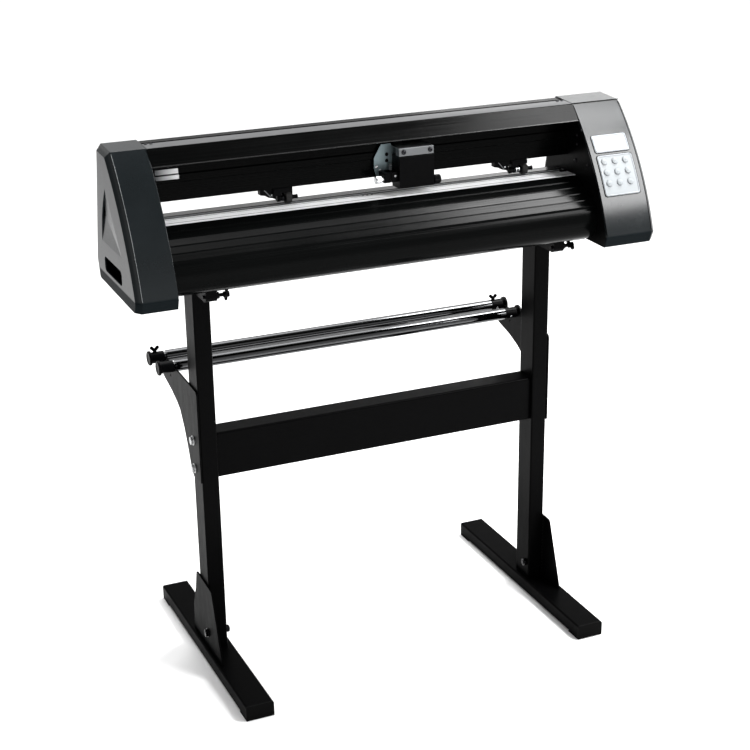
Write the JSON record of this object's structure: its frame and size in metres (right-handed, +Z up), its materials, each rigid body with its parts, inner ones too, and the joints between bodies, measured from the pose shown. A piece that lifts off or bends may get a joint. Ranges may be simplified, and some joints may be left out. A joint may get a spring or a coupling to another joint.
{
  "type": "vinyl cutting plotter",
  "caption": "Roll-fed vinyl cutter on a floor stand, with a sliding tool carriage, pinch rollers, a grit feed shaft, a rear roll holder and a key panel.",
  "frame": {"origin": "on the floor, at the centre of the overall box, which is the middle of the stand", "axes": "+X along the machine to its right as the operator faces it, +Y to its back, +Z up"},
  "size_m": [0.932, 0.478, 0.9459],
  "materials": {
    "stand_powder_coat": "satin black powder coat",
    "cap_black": "moulded black plastic",
    "cover_black": "satin black moulded plastic",
    "apron_black": "satin black anodised skin",
    "beam_black": "satin black anodised extrusion",
    "bed_grey": "dark grey bed plate",
    "strip_white": "pale hard strip",
    "frame_black": "black painted plate",
    "chrome_tube": "bright chromed tube",
    "zinc": "zinc plated steel",
    "bright_steel": "bright steel",
    "black_plastic": "fine grained black plastic",
    "gloss_black": "glossy black plastic",
    "rubber_black": "ground rubber",
    "belt_rubber": "toothed belt",
    "pulley_alloy": "machined",
    "brass_gear": "machined brass",
    "gear_nylon": "natural nylon",
    "motor_steel": "laminated motor case",
    "board_green": "circuit board",
    "display_pale": "pale display window",
    "keypad_pale": "pale printed overlay",
    "key_grey": "pale grey keys",
    "knurled_steel": "knurled grit shaft"
  },
  "bodies": {
    "frame": {"left_foot": "stand_powder_coat", "right_foot": "stand_powder_coat", "foot_caps": "cap_black", "left_post": "stand_powder_coat", "right_post": "stand_powder_coat", "crossbar": "stand_powder_coat", "left_roll_arm": "stand_powder_coat", "right_roll_arm": "stand_powder_coat", "stand_bolts": "bright_steel", "base_tray": "frame_black", "front_apron": "apron_black", "platen": "bed_grey", "cutting_strip": "strip_white", "beam": "beam_black", "left_frame": "frame_black", "right_frame": "frame_black", "left_cover": "cover_black", "right_cover": "cover_black", "carriage_motor": "motor_steel", "drive_belt": "belt_rubber", "feed_motor": "motor_steel", "control_board": "board_green", "power_inlet": "gloss_black", "display_window": "display_pale", "keypad_overlay": "keypad_pale", "machine_screws": "bright_steel"},
    "left_clamp_screw": {"left_clamp_screw": "black_plastic"},
    "right_clamp_screw": {"right_clamp_screw": "black_plastic"},
    "rear_roller": {"rear_roller": "chrome_tube", "rear_roller_knobs": "black_plastic", "rear_wing_screws": "black_plastic"},
    "front_roller": {"front_roller": "chrome_tube", "front_roller_knobs": "black_plastic"},
    "grit_shaft": {"grit_shaft": "knurled_steel", "feed_gear": "gear_nylon"},
    "feed_pinion": {"feed_pinion": "brass_gear"},
    "drive_pulley": {"drive_pulley": "pulley_alloy"},
    "idler_pulley": {"idler_pulley": "pulley_alloy"},
    "carriage": {"carriage_frame": "zinc", "carriage_shoe": "black_plastic", "carriage_cover": "black_plastic", "carriage_front_plate": "bright_steel"},
    "tool_clamp": {"tool_clamp": "black_plastic"},
    "clamp_knob": {"clamp_knob": "bright_steel"},
    "left_pinch_block": {"left_pinch_block": "black_plastic"},
    "left_pinch_arm": {"left_pinch_arm": "black_plastic"},
    "left_pinch_roller": {"left_pinch_roller": "rubber_black"},
    "right_pinch_block": {"right_pinch_block": "black_plastic"},
    "right_pinch_arm": {"right_pinch_arm": "black_plastic"},
    "right_pinch_roller": {"right_pinch_roller": "rubber_black"},
    "power_switch": {"power_switch": "gloss_black"},
    "menu_key": {"menu_key": "key_grey"},
    "up_key": {"up_key": "key_grey"},
    "set_origin_key": {"set_origin_key": "key_grey"},
    "left_key": {"left_key": "key_grey"},
    "test_key": {"test_key": "key_grey"},
    "right_key": {"right_key": "key_grey"},
    "pause_key": {"pause_key": "key_grey"},
    "down_key": {"down_key": "key_grey"},
    "enter_key": {"enter_key": "key_grey"}
  },
  "joints": [
    {"name": "left_clamp_screw_turn", "type": "hinge", "parent": "frame", "child": "left_clamp_screw", "pos_m": [-0.3, -0.08, 0.7008], "axis": [1, 0, 0], "range_deg": [-360, 360]},
    {"name": "right_clamp_screw_turn", "type": "hinge", "parent": "frame", "child": "right_clamp_screw", "pos_m": [0.34, -0.08, 0.7008], "axis": [1, 0, 0], "range_deg": [-360, 360]},
    {"name": "rear_roller_turn", "type": "hinge", "parent": "frame", "child": "rear_roller", "pos_m": [0, 0.151, 0.525], "axis": [1, 0, 0], "continuous": true},
    {"name": "front_roller_turn", "type": "hinge", "parent": "frame", "child": "front_roller", "pos_m": [0, 0.095, 0.525], "axis": [1, 0, 0], "continuous": true},
    {"name": "grit_shaft_turn", "type": "hinge", "parent": "frame", "child": "grit_shaft", "pos_m": [0, -0.015, 0.8139], "axis": [1, 0, 0], "continuous": true},
    {"name": "feed_pinion_turn", "type": "hinge", "parent": "frame", "child": "feed_pinion", "pos_m": [-0.41, -0.015, 0.77375], "axis": [1, 0, 0], "continuous": true},
    {"name": "carriage_slide", "type": "slide", "parent": "frame", "child": "carriage", "axis": [1, 0, 0], "range_m": [-0.378, 0.255]},
    {"name": "drive_pulley_turn", "type": "hinge", "parent": "frame", "child": "drive_pulley", "pos_m": [-0.428, -0.034, 0.925], "axis": [0, 0, 1], "range_deg": [-2400, 3500]},
    {"name": "idler_pulley_turn", "type": "hinge", "parent": "frame", "child": "idler_pulley", "pos_m": [0.395, -0.034, 0.925], "axis": [0, 0, 1], "range_deg": [-2400, 3500]},
    {"name": "tool_lift", "type": "slide", "parent": "carriage", "child": "tool_clamp", "axis": [0, 0, 1], "range_m": [-0.004, 0], "stiffness_N_per_m": 400, "springref_m": 0.002},
    {"name": "clamp_knob_turn", "type": "hinge", "parent": "tool_clamp", "child": "clamp_knob", "pos_m": [-0.008, -0.051, 0.8515], "axis": [1, 0, 0], "range_deg": [-540, 360]},
    {"name": "left_pinch_slide", "type": "slide", "parent": "frame", "child": "left_pinch_block", "axis": [1, 0, 0], "range_m": [-0.185, 0.15]},
    {"name": "left_pinch_lift", "type": "hinge", "parent": "left_pinch_block", "child": "left_pinch_arm", "pos_m": [-0.1575, 0.006, 0.836], "axis": [-1, 0, 0], "range_deg": [0, 5.5], "stiffness_Nm_per_rad": 0.6, "springref_deg": -20.05},
    {"name": "left_pinch_roller_turn", "type": "hinge", "parent": "left_pinch_arm", "child": "left_pinch_roller", "pos_m": [-0.1575, -0.016, 0.8312], "axis": [1, 0, 0], "continuous": true},
    {"name": "right_pinch_slide", "type": "slide", "parent": "frame", "child": "right_pinch_block", "axis": [1, 0, 0], "range_m": [-0.2, 0.06]},
    {"name": "right_pinch_lift", "type": "hinge", "parent": "right_pinch_block", "child": "right_pinch_arm", "pos_m": [0.2853, 0.006, 0.836], "axis": [-1, 0, 0], "range_deg": [0, 5.5], "stiffness_Nm_per_rad": 0.6, "springref_deg": -20.05},
    {"name": "right_pinch_roller_turn", "type": "hinge", "parent": "right_pinch_arm", "child": "right_pinch_roller", "pos_m": [0.2853, -0.016, 0.8312], "axis": [1, 0, 0], "continuous": true},
    {"name": "power_switch_rock", "type": "hinge", "parent": "frame", "child": "power_switch", "pos_m": [0.3247, 0.0546, 0.76], "axis": [1, 0, 0], "range_deg": [0, 16]},
    {"name": "menu_key_press", "type": "slide", "parent": "frame", "child": "menu_key", "axis": [0, 0.8398, -0.5429], "range_m": [0, 0.001], "stiffness_N_per_m": 600, "springref_m": -0.0005},
    {"name": "up_key_press", "type": "slide", "parent": "frame", "child": "up_key", "axis": [0, 0.8398, -0.5429], "range_m": [0, 0.001], "stiffness_N_per_m": 600, "springref_m": -0.0005},
    {"name": "set_origin_key_press", "type": "slide", "parent": "frame", "child": "set_origin_key", "axis": [0, 0.8398, -0.5429], "range_m": [0, 0.001], "stiffness_N_per_m": 600, "springref_m": -0.0005},
    {"name": "left_key_press", "type": "slide", "parent": "frame", "child": "left_key", "axis": [0, 0.8601, -0.5101], "range_m": [0, 0.001], "stiffness_N_per_m": 600, "springref_m": -0.0005},
    {"name": "test_key_press", "type": "slide", "parent": "frame", "child": "test_key", "axis": [0, 0.8601, -0.5101], "range_m": [0, 0.001], "stiffness_N_per_m": 600, "springref_m": -0.0005},
    {"name": "right_key_press", "type": "slide", "parent": "frame", "child": "right_key", "axis": [0, 0.8601, -0.5101], "range_m": [0, 0.001], "stiffness_N_per_m": 600, "springref_m": -0.0005},
    {"name": "pause_key_press", "type": "slide", "parent": "frame", "child": "pause_key", "axis": [0, 0.879, -0.4768], "range_m": [0, 0.001], "stiffness_N_per_m": 600, "springref_m": -0.0005},
    {"name": "down_key_press", "type": "slide", "parent": "frame", "child": "down_key", "axis": [0, 0.879, -0.4768], "range_m": [0, 0.001], "stiffness_N_per_m": 600, "springref_m": -0.0005},
    {"name": "enter_key_press", "type": "slide", "parent": "frame", "child": "enter_key", "axis": [0, 0.879, -0.4768], "range_m": [0, 0.001], "stiffness_N_per_m": 600, "springref_m": -0.0005}
  ],
  "couplings": [
    {"joint": "drive_pulley_turn", "follows": "carriage_slide", "rad_per_m": -156.25},
    {"joint": "idler_pulley_turn", "follows": "carriage_slide", "rad_per_m": -156.25},
    {"joint": "feed_pinion_turn", "follows": "grit_shaft_turn", "ratio": -3}
  ]
}
